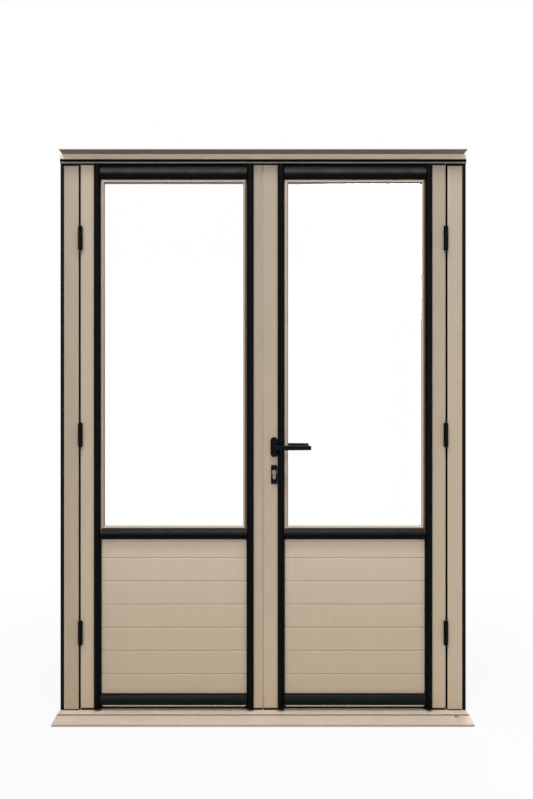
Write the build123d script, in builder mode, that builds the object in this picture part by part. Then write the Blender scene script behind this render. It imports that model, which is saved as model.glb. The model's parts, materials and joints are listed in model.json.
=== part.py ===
from build123d import *
import os

# Half-glazed double door in its aluminium frame, seen from outside along +Y.
# X runs to the right, Y into the wall, Z up. The outside faces of leaves and jambs lie at Y = 0,
# and the origin is on the underside of the threshold, below the meeting line. Millimetres.

os.makedirs("parts", exist_ok=True)

# Overall frame
frame_width = 1440.0
frame_depth = 75.0
frame_height = 2000.0
side_seal_width = 15.0
side_seal_setback = 3.0
jamb_width = 52.0
stop_lap = 17.0
stop_depth = 23.0

# Clearances round the leaves
side_gap = 7.0
head_gap = 7.0
floor_gap = 8.5
meeting_gap = 5.0

# Leaf pieces
leaf_thickness = 44.0
hinge_stile_width = 48.0
passive_stile_width = 31.5
active_stile_width = 49.5
bar_width = 23.0
bar_proud = 13.0
bar_shoulder = 5.0
top_rail_height = 50.0
mid_rail_height = 32.5
mid_rail_bottom = 620.0
bottom_rail_height = 35.5
bottom_rail_lift = 12.5
border_width = 6.0
border_depth = 1.5
meeting_lip_depth = 12.0
meeting_step = 4.0

# Infill
glass_thickness = 24.0
glass_setback = 8.0
glass_edge_clearance = 3.0
bead_width = 12.0
bead_proud = 4.0
bead_foot = 3.0
bead_nose = 3.0
inner_bead_width = 6.0
inner_bead_rim = 1.0
mitre_play = 0.15
panel_thickness = 30.0
panel_setback = 8.0
groove_count = 6
groove_pitch = 82.5
groove_width = 6.0
groove_depth = 3.0
strip_height = 8.0
strip_setback = 3.0
strip_depth = 30.0

# Threshold and apron
threshold_top = 13.0
threshold_reach = 31.0
threshold_edge_bevel = 1.5
threshold_stop_height = 36.0
apron_joint = 7.0
apron_joint_depth = 6.0
apron_reach = 104.0
nose_height = 8.0
nose_rounding = 3.0
nose_undercut = 4.0
drip_setback = 8.0
drip_width = 4.0
drip_depth = 2.0

# Header and hood
hood_height = 17.0
hood_reach = 44.0
hood_lip = 3.0
hood_end_setback = 9.0
header_height = 32.0
header_lip_height = 4.0
header_groove_height = 10.5
header_groove_depth = 6.0
header_gasket_setback = 2.0
fascia_line_width = 3.0
fascia_line_depth = 1.2
jamb_cap_height = 10.0
jamb_foot_height = 4.0
jamb_cap_setback = 2.0

# Seals
stop_gasket_height = 3.0
stop_gasket_width = 9.0
nose_seal_reach = 3.8
nose_seal_setback = 4.0
nose_seal_depth = 6.0

# Hinges, three to a leaf
hinge_centres = (290.0, 989.0, 1684.0)
hinge_length = 83.0
leaf_knuckle_length = 30.0
knuckle_gap = 0.5
knuckle_radius = 8.0
hinge_pin_radius = 3.0
hinge_pin_play = 0.05
hinge_axis_forward = 9.5
hinge_axis_inset = 1.0
flap_thickness = 2.5
flap_depth = 30.0

# Lever handle
spindle_from_face_edge = 36.5
spindle_height = 946.0
spindle_size = 8.0
spindle_play = 0.1
spindle_hole_radius = 8.0
spindle_insertion = 24.0
rose_width = 26.0
rose_height = 70.0
rose_thickness = 10.0
rose_hole_radius = 6.5
rose_bevel = 2.5
lever_gap = 0.5
lever_standoff = 50.0
lever_reach = 128.0
neck_radius = 7.0
grip_height = 17.0
grip_tip_height = 15.0
grip_thickness = 12.0
grip_outer_bevel = 2.5
grip_inner_bevel = 1.0
grip_tip_rounding = 3.0

# Lock
cylinder_drop = 89.0
cylinder_radius = 8.5
cylinder_stem_width = 10.0
cylinder_height = 33.0
cylinder_proud = 10.0
cylinder_play = 0.3
keyway_width = 1.6
keyway_height = 9.0
keyway_depth = 4.0
escutcheon_width = 22.0
escutcheon_height = 66.0
escutcheon_thickness = 8.0
escutcheon_corner = 4.0
escutcheon_bevel = 1.5
lock_plate_length = 240.0
lock_plate_width = 20.0
lock_plate_thickness = 3.0
lock_plate_setback = 18.0
bolt_stand = 1.0
latch_height = 34.0
latch_width = 12.0
strike_clearance = 2.0

# Fixing holes through the jambs
fixing_radius = 4.0
fixing_setback = 30.0
fixing_low = 500.0
fixing_high = 1500.0

# Places worked out from the sizes above
half_width = frame_width / 2
jamb_outer = half_width - side_seal_width
jamb_inner = jamb_outer - jamb_width
stop_inner = jamb_inner - stop_lap
stop_front = frame_depth - stop_depth
header_top = frame_height - hood_height
header_bottom = header_top - header_height
leaf_edge = jamb_inner - side_gap
leaf_top = header_bottom - head_gap
leaf_bottom = threshold_top + floor_gap
leaf_height = leaf_top - leaf_bottom
meeting_edge = meeting_gap / 2
hinge_bar_outer = leaf_edge - hinge_stile_width
infill_outer = hinge_bar_outer - bar_width
bottom_rail_bottom = leaf_bottom + bottom_rail_lift
bottom_rail_top = bottom_rail_bottom + bottom_rail_height
mid_rail_top = mid_rail_bottom + mid_rail_height
top_rail_bottom = leaf_top - top_rail_height
spindle_x = meeting_edge + spindle_from_face_edge
cylinder_z = spindle_height - cylinder_drop
lock_plate_middle = spindle_height
hinge_axis_x = leaf_edge - hinge_axis_inset
hinge_axis_y = -hinge_axis_forward


def save(piece, name):
    """Label one finished piece and write it as its own file."""
    piece.part.label = name
    export_step(piece.part, f"parts/{name}.step")


def bevel_front_border(piece):
    """Give the outside face of a profile its flat, shallow bevelled border."""
    front = piece.faces().filter_by(Axis.Y).sort_by(Axis.Y)[0]
    chamfer(front.edges(), length=border_width, length2=border_depth, reference=front)


# Frame


def jamb_section(side, front):
    """Section of a jamb: the face part and, behind the leaf, the stop."""
    Polyline(
        (side * jamb_inner, front),
        (side * jamb_outer, front),
        (side * jamb_outer, frame_depth),
        (side * stop_inner, frame_depth),
        (side * stop_inner, stop_front),
        (side * jamb_inner, stop_front),
        close=True,
    )


def make_jamb(side, name):
    """Upright of the frame on one side, with its fixing holes."""
    with BuildPart() as jamb:
        with BuildSketch(Plane.XY.offset(threshold_top + jamb_foot_height)):
            with BuildLine():
                jamb_section(side, 0)
            make_face()
        extrude(amount=header_bottom - jamb_cap_height - threshold_top - jamb_foot_height)
        bevel_front_border(jamb)
        with BuildSketch(Plane.YZ):
            with Locations((fixing_setback, fixing_low), (fixing_setback, fixing_high)):
                Circle(fixing_radius)
        extrude(amount=side * half_width, mode=Mode.SUBTRACT)
    save(jamb, name)


def make_side_seal(side, name):
    """Black expansion profile between jamb and wall, round on its outside face."""
    with BuildPart() as seal:
        with BuildSketch(Plane.XY.offset(threshold_top)):
            with BuildLine():
                Polyline(
                    (side * jamb_outer, side_seal_setback + side_seal_width / 2),
                    (side * jamb_outer, frame_depth),
                    (side * half_width, frame_depth),
                    (side * half_width, side_seal_setback + side_seal_width / 2),
                )
                ThreePointArc(
                    (side * half_width, side_seal_setback + side_seal_width / 2),
                    (side * (jamb_outer + side_seal_width / 2), side_seal_setback),
                    (side * jamb_outer, side_seal_setback + side_seal_width / 2),
                )
            make_face()
        extrude(amount=header_bottom - threshold_top)
        with BuildSketch(Plane.YZ):
            with Locations((fixing_setback, fixing_low), (fixing_setback, fixing_high)):
                Circle(fixing_radius)
        extrude(amount=side * frame_width, mode=Mode.SUBTRACT)
    save(seal, name)


def make_threshold():
    """Threshold profile: flat tread with a bevelled front edge, and an upstand behind the leaves."""
    with BuildPart() as threshold:
        with BuildSketch(Plane.YZ.offset(-half_width)):
            with BuildLine():
                Polyline(
                    (-threshold_reach, 0),
                    (frame_depth, 0),
                    (frame_depth, threshold_top),
                    (threshold_edge_bevel - threshold_reach, threshold_top),
                    (-threshold_reach, threshold_top - threshold_edge_bevel),
                    close=True,
                )
            make_face()
        extrude(amount=frame_width)
        with BuildSketch(Plane.YZ.offset(-stop_inner)):
            with BuildLine():
                Polyline(
                    (stop_front, threshold_top),
                    (frame_depth, threshold_top),
                    (frame_depth, threshold_stop_height - border_width),
                    (frame_depth - border_width, threshold_stop_height),
                    (stop_front, threshold_stop_height),
                    close=True,
                )
            make_face()
        extrude(amount=2 * stop_inner)
    save(threshold, "threshold")


def make_sill_apron():
    """Sloping sill in front of the threshold: a joint line behind it, a round nose, undercut, with a drip."""
    nose = -apron_reach
    joint_floor = threshold_top - apron_joint_depth
    with BuildPart() as apron:
        with BuildSketch(Plane.YZ.offset(-half_width)):
            with BuildLine():
                Polyline(
                    (nose, nose_height - nose_rounding),
                    (nose + nose_undercut, 0),
                    (nose + drip_setback, 0),
                    (nose + drip_setback, drip_depth),
                    (nose + drip_setback + drip_width, drip_depth),
                    (nose + drip_setback + drip_width, 0),
                    (-threshold_reach, 0),
                    (-threshold_reach, joint_floor),
                    (-threshold_reach - apron_joint, joint_floor),
                    (-threshold_reach - apron_joint, threshold_top),
                    (nose + nose_rounding, nose_height),
                )
                JernArc((nose + nose_rounding, nose_height), (-1, 0), nose_rounding, 90)
            make_face()
        extrude(amount=frame_width)
    save(apron, "sill_apron")


def make_header():
    """Head of the frame: thin lip, gasket groove, scored fascia and, behind the leaves, the stop."""
    groove_bottom = header_bottom + header_lip_height
    groove_top = groove_bottom + header_groove_height
    line_middle = (groove_top + header_top) / 2
    with BuildPart() as header:
        with BuildSketch(Plane.YZ.offset(-half_width)):
            with BuildLine():
                Polyline(
                    (0, header_bottom),
                    (frame_depth, header_bottom),
                    (frame_depth, header_top),
                    (0, header_top),
                    (0, line_middle + fascia_line_width / 2),
                    (fascia_line_depth, line_middle),
                    (0, line_middle - fascia_line_width / 2),
                    (0, groove_top),
                    (header_groove_depth, groove_top),
                    (header_groove_depth, groove_bottom),
                    (0, groove_bottom),
                    close=True,
                )
            make_face()
        extrude(amount=frame_width)
        with BuildSketch(Plane.YZ.offset(-stop_inner)):
            with BuildLine():
                Polyline(
                    (stop_front, header_bottom),
                    (frame_depth, header_bottom),
                    (frame_depth, header_bottom - stop_lap),
                    (stop_front, header_bottom - stop_lap),
                    close=True,
                )
            make_face()
        extrude(amount=2 * stop_inner)
    save(header, "header")

    with BuildPart() as gasket:
        with BuildSketch(Plane.YZ.offset(-half_width)):
            with BuildLine():
                Polyline(
                    (header_gasket_setback, groove_bottom),
                    (header_groove_depth, groove_bottom),
                    (header_groove_depth, groove_top),
                    (header_gasket_setback, groove_top),
                    close=True,
                )
            make_face()
        extrude(amount=frame_width)
    save(gasket, "header_gasket")


def make_drip_hood():
    """Thin-lipped hood over the header, flat below and falling to the front above."""
    with BuildPart() as hood:
        with BuildSketch(Plane.YZ.offset(hood_end_setback - half_width)):
            with BuildLine():
                Polyline(
                    (-hood_reach, header_top),
                    (frame_depth, header_top),
                    (frame_depth, frame_height),
                    (0, frame_height),
                    (-hood_reach, header_top + hood_lip),
                    close=True,
                )
            make_face()
        extrude(amount=frame_width - 2 * hood_end_setback)
    save(hood, "drip_hood")


def make_jamb_caps():
    """Black packers: one over each jamb, under the header, and a thin one under its foot."""
    packers = ((threshold_top, jamb_foot_height), (header_bottom - jamb_cap_height, jamb_cap_height))
    with BuildPart() as caps:
        for side in (-1, 1):
            for bottom, height in packers:
                with BuildSketch(Plane.XY.offset(bottom)):
                    with BuildLine():
                        jamb_section(side, jamb_cap_setback)
                    make_face()
                extrude(amount=height)
    save(caps, "jamb_caps")


def make_stop_gasket():
    """Black gasket strips on the stops: one on each jamb and one on the header."""
    gasket_front = stop_front - stop_gasket_height
    strip_outer = stop_inner + stop_gasket_width
    with BuildPart() as gasket:
        for side in (-1, 1):
            with BuildSketch(Plane.XY.offset(threshold_top)):
                with BuildLine():
                    Polyline(
                        (side * stop_inner, stop_front),
                        (side * strip_outer, stop_front),
                        (side * (strip_outer - stop_gasket_height), gasket_front),
                        (side * (stop_inner + stop_gasket_height), gasket_front),
                        close=True,
                    )
                make_face()
            extrude(amount=header_bottom - jamb_cap_height - threshold_top)
        head_edge = header_bottom - stop_lap
        head_half = stop_inner - knuckle_gap
        with BuildSketch(Plane.YZ.offset(-head_half)):
            with BuildLine():
                Polyline(
                    (stop_front, head_edge),
                    (stop_front, head_edge + stop_gasket_width),
                    (gasket_front, head_edge + stop_gasket_width - stop_gasket_height),
                    (gasket_front, head_edge + stop_gasket_height),
                    close=True,
                )
            make_face()
        extrude(amount=2 * head_half)
    save(gasket, "stop_gasket")


# Hinges


def hinge_plane(side, height):
    """Level plane through one hinge, with its origin on the hinge line."""
    return Plane((side * hinge_axis_x, hinge_axis_y, height), x_dir=(1, 0, 0), z_dir=(0, 0, 1))


def make_frame_hinges(side, name):
    """Frame halves of the hinges: two knuckles, their pin and a flap screwed to the jamb."""
    end_length = (hinge_length - leaf_knuckle_length) / 2 - knuckle_gap
    flap_outer = jamb_inner - hinge_axis_x
    flap_middle = side * (flap_outer - flap_thickness / 2)
    with BuildPart() as hinges:
        for centre in hinge_centres:
            foot = centre - hinge_length / 2
            head = centre + hinge_length / 2 - end_length
            for start in (foot, head):
                with BuildSketch(hinge_plane(side, start)):
                    Circle(knuckle_radius)
                    with Locations((flap_middle, 0)):
                        Rectangle(flap_thickness, hinge_axis_forward, align=(Align.CENTER, Align.MIN))
                extrude(amount=end_length)
            with BuildSketch(hinge_plane(side, foot)):
                with Locations((flap_middle, hinge_axis_forward)):
                    Rectangle(flap_thickness, flap_depth, align=(Align.CENTER, Align.MIN))
            extrude(amount=hinge_length)
            with BuildSketch(hinge_plane(side, foot)):
                Circle(hinge_pin_radius)
            extrude(amount=hinge_length)
    save(hinges, name)


def make_leaf_hinges(side, name):
    """Leaf halves of the hinges: the middle knuckle, bored for the pin, and a flap on the leaf's edge."""
    flap_inner = leaf_edge - hinge_axis_x
    flap_middle = side * (flap_inner + flap_thickness / 2)
    with BuildPart() as hinges:
        for centre in hinge_centres:
            with BuildSketch(hinge_plane(side, centre - leaf_knuckle_length / 2)):
                Circle(knuckle_radius)
                with Locations((flap_middle, hinge_axis_forward)):
                    Rectangle(flap_thickness, knuckle_radius - hinge_pin_radius, align=(Align.CENTER, Align.MAX))
                Circle(hinge_pin_radius + hinge_pin_play, mode=Mode.SUBTRACT)
            extrude(amount=leaf_knuckle_length)
            with BuildSketch(hinge_plane(side, centre - hinge_length / 2)):
                with Locations((flap_middle, hinge_axis_forward)):
                    Rectangle(flap_thickness, flap_depth, align=(Align.CENTER, Align.MIN))
            extrude(amount=hinge_length)
    save(hinges, name)


# Leaves


def make_hinge_stile(side, name):
    """Beige upright at the hinges."""
    with BuildPart() as stile:
        with BuildSketch(Plane.XY.offset(leaf_bottom)):
            with BuildLine():
                Polyline(
                    (side * hinge_bar_outer, 0),
                    (side * leaf_edge, 0),
                    (side * leaf_edge, leaf_thickness),
                    (side * hinge_bar_outer, leaf_thickness),
                    close=True,
                )
            make_face()
        extrude(amount=leaf_height)
        bevel_front_border(stile)
    save(stile, name)


def make_upright_bar(side, inner, name):
    """Black upright bar, round and proud outside, from the leaf's bottom to its top."""
    outer = inner + bar_width
    with BuildPart() as bar:
        with BuildSketch(Plane.XY.offset(leaf_bottom)):
            with BuildLine():
                Polyline(
                    (side * inner, -bar_shoulder),
                    (side * inner, leaf_thickness),
                    (side * outer, leaf_thickness),
                    (side * outer, -bar_shoulder),
                )
                ThreePointArc(
                    (side * outer, -bar_shoulder),
                    (side * (inner + outer) / 2, -bar_proud),
                    (side * inner, -bar_shoulder),
                )
            make_face()
        extrude(amount=leaf_height)
    save(bar, name)


def make_rail(side, start, bottom, height, name):
    """Black cross rail between the upright bars, with the same round front."""
    length = infill_outer - start
    left_end = start if side > 0 else -infill_outer
    with BuildPart() as rail:
        with BuildSketch(Plane.YZ.offset(left_end)):
            with BuildLine():
                Polyline(
                    (-bar_shoulder, bottom),
                    (leaf_thickness, bottom),
                    (leaf_thickness, bottom + height),
                    (-bar_shoulder, bottom + height),
                )
                ThreePointArc(
                    (-bar_shoulder, bottom + height),
                    (-bar_proud, bottom + height / 2),
                    (-bar_shoulder, bottom),
                )
            make_face()
        extrude(amount=length)
    save(rail, name)


def make_glass(side, start, name):
    """Sealed glass unit, held between the beads with play at its edges."""
    middle_x = side * (start + infill_outer) / 2
    middle_z = (mid_rail_top + top_rail_bottom) / 2
    width = infill_outer - start - 2 * glass_edge_clearance
    height = top_rail_bottom - mid_rail_top - 2 * glass_edge_clearance
    with BuildPart() as glass:
        with BuildSketch(Plane.XZ.offset(-glass_setback)):
            with Locations((middle_x, middle_z)):
                Rectangle(width, height)
        extrude(amount=-glass_thickness)
    save(glass, name)


def outer_bead_points():
    """Section of an outside bead: across from its bar, and depth."""
    return (
        (0, bead_foot),
        (bead_width - bead_nose, -bead_proud),
        (bead_width, -bead_proud + bead_nose / 2),
        (bead_width, glass_setback),
        (0, glass_setback),
    )


def inner_bead_points():
    """Section of an inside bead, which slopes away from the glass: across from its bar, and depth."""
    back = glass_setback + glass_thickness
    return (
        (0, back),
        (inner_bead_width, back),
        (inner_bead_rim, leaf_thickness),
        (0, leaf_thickness),
    )


def bead_outline(points, low_x, high_x, low_z, high_z, edge):
    """Corners, plane and length of one bead along an edge of the pane, before its ends are mitred."""
    if edge == "left":
        corners = [(low_x + across, depth) for across, depth in points]
    elif edge == "right":
        corners = [(high_x - across, depth) for across, depth in points]
    elif edge == "bottom":
        corners = [(depth, low_z + across) for across, depth in points]
    else:
        corners = [(depth, high_z - across) for across, depth in points]
    if edge in ("left", "right"):
        return corners, Plane.XY.offset(low_z), high_z - low_z
    return corners, Plane.YZ.offset(low_x), high_x - low_x


def mitre_planes(edge, low_x, high_x, low_z, high_z):
    """Two planes that cut a bead's ends at 45 degrees, each facing the bead it keeps."""
    ends = {
        "left": (((low_x, low_z), (-1, 1)), ((low_x, high_z), (-1, -1))),
        "right": (((high_x, low_z), (1, 1)), ((high_x, high_z), (1, -1))),
        "bottom": (((low_x, low_z), (1, -1)), ((high_x, low_z), (-1, -1))),
        "top": (((low_x, high_z), (1, 1)), ((high_x, high_z), (-1, 1))),
    }
    planes = []
    for (corner_x, corner_z), (face_x, face_z) in ends[edge]:
        plane = Plane((corner_x, 0, corner_z), x_dir=(0, 1, 0), z_dir=(face_x, 0, face_z))
        planes.append(plane.offset(mitre_play))
    return planes


def make_beads(side, start, name):
    """Glazing beads of one pane: four mitred strips outside and four inside."""
    low_x = min(side * start, side * infill_outer)
    high_x = max(side * start, side * infill_outer)
    box = (low_x, high_x, mid_rail_top, top_rail_bottom)
    strips = []
    for points in (outer_bead_points(), inner_bead_points()):
        for edge in ("left", "right", "bottom", "top"):
            corners, plane, length = bead_outline(points, *box, edge)
            with BuildPart() as strip:
                with BuildSketch(plane):
                    with BuildLine():
                        Polyline(*corners, close=True)
                    make_face()
                extrude(amount=length)
                for cut in mitre_planes(edge, *box):
                    split(bisect_by=cut, keep=Keep.TOP)
            strips.append(strip.part)
    with BuildPart() as beads:
        for strip in strips:
            add(strip)
    save(beads, name)


def make_panel(side, start, name):
    """Insulated lower panel, scored across by V grooves on both faces."""
    width = infill_outer - start
    left_end = start if side > 0 else -infill_outer
    back = panel_setback + panel_thickness
    middle = (bottom_rail_top + mid_rail_bottom) / 2
    first = middle - groove_pitch * (groove_count - 1) / 2
    with BuildPart() as panel:
        with BuildSketch(Plane.YZ.offset(left_end)):
            with Locations(((panel_setback + back) / 2, middle)):
                Rectangle(panel_thickness, mid_rail_bottom - bottom_rail_top)
            for index in range(groove_count):
                height = first + index * groove_pitch
                for face, inward in ((panel_setback, groove_depth), (back, -groove_depth)):
                    with BuildLine():
                        Polyline(
                            (face, height - groove_width / 2),
                            (face + inward, height),
                            (face, height + groove_width / 2),
                            close=True,
                        )
                    make_face(mode=Mode.SUBTRACT)
        extrude(amount=width)
    save(panel, name)


def make_bottom_strip(side, start, name):
    """Beige strip under the bottom rail, cut back at a slant at both ends."""
    left_end = start if side > 0 else -infill_outer
    right_end = left_end + infill_outer - start
    low = bottom_rail_bottom - strip_height
    with BuildPart() as strip:
        with BuildSketch(Plane.XZ.offset(-strip_setback)):
            with BuildLine():
                Polyline(
                    (left_end, bottom_rail_bottom),
                    (left_end + strip_height, low),
                    (right_end - strip_height, low),
                    (right_end, bottom_rail_bottom),
                    close=True,
                )
            make_face()
        extrude(amount=-strip_depth)
    save(strip, name)


def meeting_stile_sketch(side, width):
    """Section of a meeting stile: a face lip in front of a chamber that steps back."""
    outer = meeting_edge + width
    Polyline(
        (side * meeting_edge, 0),
        (side * outer, 0),
        (side * outer, leaf_thickness),
        (side * (meeting_edge + meeting_step), leaf_thickness),
        (side * (meeting_edge + meeting_step), meeting_lip_depth),
        (side * meeting_edge, meeting_lip_depth),
        close=True,
    )


def cut_lock_pocket(side):
    """Shallow pocket in a meeting stile's edge for the lock or strike plate."""
    plate_middle = lock_plate_setback + lock_plate_width / 2
    with BuildSketch(Plane.YZ.offset(side * (meeting_edge + meeting_step))) as pocket:
        with Locations((plate_middle, lock_plate_middle)):
            Rectangle(lock_plate_width, lock_plate_length)
    extrude(pocket.sketch, amount=side * lock_plate_thickness, mode=Mode.SUBTRACT)


def cylinder_profile(play):
    """Keyhole outline of a profile cylinder: a circle over a round-ended stem."""
    stem_radius = cylinder_stem_width / 2
    stem_drop = cylinder_height - cylinder_radius - stem_radius
    with Locations((spindle_x, cylinder_z)):
        Circle(cylinder_radius + play)
    with Locations((spindle_x, cylinder_z - stem_drop / 2)):
        Rectangle(cylinder_stem_width + 2 * play, stem_drop)
    with Locations((spindle_x, cylinder_z - stem_drop)):
        Circle(stem_radius + play)


def make_passive_stile(name):
    """Meeting stile of the left leaf, with the pocket for the strike plate."""
    with BuildPart() as stile:
        with BuildSketch(Plane.XY.offset(leaf_bottom)):
            with BuildLine():
                meeting_stile_sketch(-1, passive_stile_width)
            make_face()
        extrude(amount=leaf_height)
        bevel_front_border(stile)
        cut_lock_pocket(-1)
    save(stile, name)


def make_active_stile(name):
    """Meeting stile of the right leaf, bored for the spindle and the lock cylinder."""
    with BuildPart() as stile:
        with BuildSketch(Plane.XY.offset(leaf_bottom)):
            with BuildLine():
                meeting_stile_sketch(1, active_stile_width)
            make_face()
        extrude(amount=leaf_height)
        bevel_front_border(stile)
        cut_lock_pocket(1)
        with BuildSketch(Plane.XZ):
            with Locations((spindle_x, spindle_height)):
                Circle(spindle_hole_radius)
            cylinder_profile(cylinder_play)
        extrude(amount=-leaf_thickness, mode=Mode.SUBTRACT)
    save(stile, name)


def make_leaf(side, meeting_width, prefix):
    """All pieces that the two leaves share."""
    meeting_bar_inner = meeting_edge + meeting_width
    start = meeting_bar_inner + bar_width
    make_hinge_stile(side, f"{prefix}_hinge_stile")
    make_upright_bar(side, infill_outer, f"{prefix}_hinge_side_bar")
    make_upright_bar(side, meeting_bar_inner, f"{prefix}_meeting_side_bar")
    make_rail(side, start, top_rail_bottom, top_rail_height, f"{prefix}_top_rail")
    make_rail(side, start, mid_rail_bottom, mid_rail_height, f"{prefix}_mid_rail")
    make_rail(side, start, bottom_rail_bottom, bottom_rail_height, f"{prefix}_bottom_rail")
    make_glass(side, start, f"{prefix}_glass")
    make_beads(side, start, f"{prefix}_glazing_beads")
    make_panel(side, start, f"{prefix}_panel")
    make_bottom_strip(side, start, f"{prefix}_bottom_strip")
    make_leaf_hinges(side, f"{prefix}_leaf_hinges")
    make_frame_hinges(side, f"{prefix}_frame_hinges")


def make_nose_seal():
    """Round-nosed seal on the left leaf's edge, which fills the meeting gap all but a hair."""
    nose_radius = nose_seal_depth / 2
    tip = nose_seal_reach - meeting_edge
    with BuildPart() as seal:
        with BuildSketch(Plane.XY.offset(leaf_bottom)):
            with BuildLine():
                Polyline(
                    (tip - nose_radius, nose_seal_setback),
                    (-meeting_edge, nose_seal_setback),
                    (-meeting_edge, nose_seal_setback + nose_seal_depth),
                    (tip - nose_radius, nose_seal_setback + nose_seal_depth),
                )
                ThreePointArc(
                    (tip - nose_radius, nose_seal_setback + nose_seal_depth),
                    (tip, nose_seal_setback + nose_radius),
                    (tip - nose_radius, nose_seal_setback),
                )
            make_face()
        extrude(amount=leaf_height)
    save(seal, "meeting_seal")


# Lock and handle


def make_lock_plates():
    """Faceplate with latch and bolt in the right leaf, strike plate with their holes in the left."""
    plate_middle = lock_plate_setback + lock_plate_width / 2
    seat = meeting_edge + meeting_step
    bolt_heights = (spindle_height, cylinder_z)
    with BuildPart() as faceplate:
        with BuildSketch(Plane.YZ.offset(seat)):
            with Locations((plate_middle, lock_plate_middle)):
                Rectangle(lock_plate_width, lock_plate_length)
        extrude(amount=lock_plate_thickness)
        with BuildSketch(Plane.YZ.offset(seat)):
            for height in bolt_heights:
                with Locations((plate_middle, height)):
                    Rectangle(latch_width, latch_height)
        extrude(amount=-bolt_stand)
    save(faceplate, "lock_faceplate")

    with BuildPart() as strike:
        with BuildSketch(Plane.YZ.offset(-seat)):
            with Locations((plate_middle, lock_plate_middle)):
                Rectangle(lock_plate_width, lock_plate_length)
            for height in bolt_heights:
                with Locations((plate_middle, height)):
                    Rectangle(latch_width + strike_clearance, latch_height + strike_clearance, mode=Mode.SUBTRACT)
        extrude(amount=-lock_plate_thickness)
    save(strike, "strike_plate")


def make_lock_cylinder():
    """Profile cylinder through the stile, with a keyway in each end."""
    front = -cylinder_proud
    back = leaf_thickness + cylinder_proud
    with BuildPart() as cylinder:
        with BuildSketch(Plane.XZ.offset(-front)):
            cylinder_profile(0)
        extrude(amount=front - back)
        for depth in (front, back - keyway_depth):
            with BuildSketch(Plane.XZ.offset(-depth)):
                with Locations((spindle_x, cylinder_z)):
                    Rectangle(keyway_width, keyway_height)
            extrude(amount=-keyway_depth, mode=Mode.SUBTRACT)
    save(cylinder, "lock_cylinder")


def make_roses():
    """Oval roses under the levers, one on each face of the stile."""
    with BuildPart() as roses:
        for face, outward in ((0, 1), (leaf_thickness, -1)):
            with BuildSketch(Plane.XZ.offset(-face)):
                with Locations((spindle_x, spindle_height)):
                    SlotOverall(rose_height, rose_width, rotation=90)
                    Circle(rose_hole_radius, mode=Mode.SUBTRACT)
            extrude(amount=outward * rose_thickness)
        for rim in (roses.faces().sort_by(Axis.Y)[0], roses.faces().sort_by(Axis.Y)[-1]):
            chamfer(rim.outer_wire().edges(), rose_bevel)
    save(roses, "handle_roses")


def make_escutcheons():
    """Rectangular plates round the lock cylinder, one on each face of the stile."""
    plate_z = cylinder_z + cylinder_radius - cylinder_height / 2
    with BuildPart() as plates:
        for face, outward in ((0, 1), (leaf_thickness, -1)):
            with BuildSketch(Plane.XZ.offset(-face)):
                with Locations((spindle_x, plate_z)):
                    RectangleRounded(escutcheon_width, escutcheon_height, escutcheon_corner)
            extrude(amount=outward * escutcheon_thickness)
        for rim in (plates.faces().sort_by(Axis.Y)[0], plates.faces().sort_by(Axis.Y)[-1]):
            chamfer(rim.outer_wire().edges(), escutcheon_bevel)
        with BuildSketch(Plane.XZ.offset(escutcheon_thickness)):
            cylinder_profile(cylinder_play)
        extrude(amount=-leaf_thickness - 2 * escutcheon_thickness, mode=Mode.SUBTRACT)
    save(plates, "cylinder_escutcheons")


def make_lever(face, outward, name):
    """Lever: a round neck on the spindle and a flat grip, round at the hub, that tapers to its tip."""
    foot = rose_thickness + lever_gap
    toward_hand = (0, -outward, 0)
    neck_plane = Plane((spindle_x, face - outward * foot, spindle_height), x_dir=(1, 0, 0), z_dir=toward_hand)
    grip_plane = neck_plane.offset(lever_standoff - foot)
    hub_radius = grip_height / 2
    tip_half = grip_tip_height / 2
    with BuildPart() as lever:
        with BuildSketch(grip_plane):
            with BuildLine():
                Polyline((0, hub_radius), (lever_reach, tip_half), (lever_reach, -tip_half), (0, -hub_radius))
                ThreePointArc((0, -hub_radius), (-hub_radius, 0), (0, hub_radius))
            make_face()
        extrude(amount=grip_thickness)
        tip_edges = lever.edges().filter_by(Axis.Y).group_by(Axis.X)[-1]
        fillet(tip_edges, grip_tip_rounding)
        rims = lever.faces().filter_by(Axis.Y).sort_by(Axis.Y)
        outer_rim, inner_rim = (rims[0], rims[-1]) if outward > 0 else (rims[-1], rims[0])
        outer_edges = outer_rim.edges()
        inner_edges = inner_rim.edges()
        chamfer(outer_edges, grip_outer_bevel)
        chamfer(inner_edges, grip_inner_bevel)
        with BuildSketch(neck_plane):
            Circle(neck_radius)
        extrude(amount=lever_standoff - foot)
        with BuildSketch(neck_plane):
            Rectangle(spindle_size + 2 * spindle_play, spindle_size + 2 * spindle_play)
        extrude(amount=spindle_insertion, mode=Mode.SUBTRACT)
    save(lever, name)


def make_spindle():
    """Square spindle through both roses and the stile into the levers."""
    reach = rose_thickness + lever_gap + spindle_insertion - lever_gap
    with BuildPart() as spindle:
        with BuildSketch(Plane.XZ.offset(reach)):
            with Locations((spindle_x, spindle_height)):
                Rectangle(spindle_size, spindle_size)
        extrude(amount=-leaf_thickness - 2 * reach)
    save(spindle, "spindle")


make_threshold()
make_sill_apron()
make_header()
make_drip_hood()
make_jamb_caps()
make_stop_gasket()
make_jamb(-1, "left_jamb")
make_jamb(1, "right_jamb")
make_side_seal(-1, "left_side_seal")
make_side_seal(1, "right_side_seal")
make_leaf(-1, passive_stile_width, "left")
make_leaf(1, active_stile_width, "right")
make_passive_stile("left_meeting_stile")
make_active_stile("right_meeting_stile")
make_nose_seal()
make_lock_plates()
make_lock_cylinder()
make_roses()
make_escutcheons()
make_lever(0, 1, "outside_lever")
make_lever(leaf_thickness, -1, "inside_lever")
make_spindle()
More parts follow.
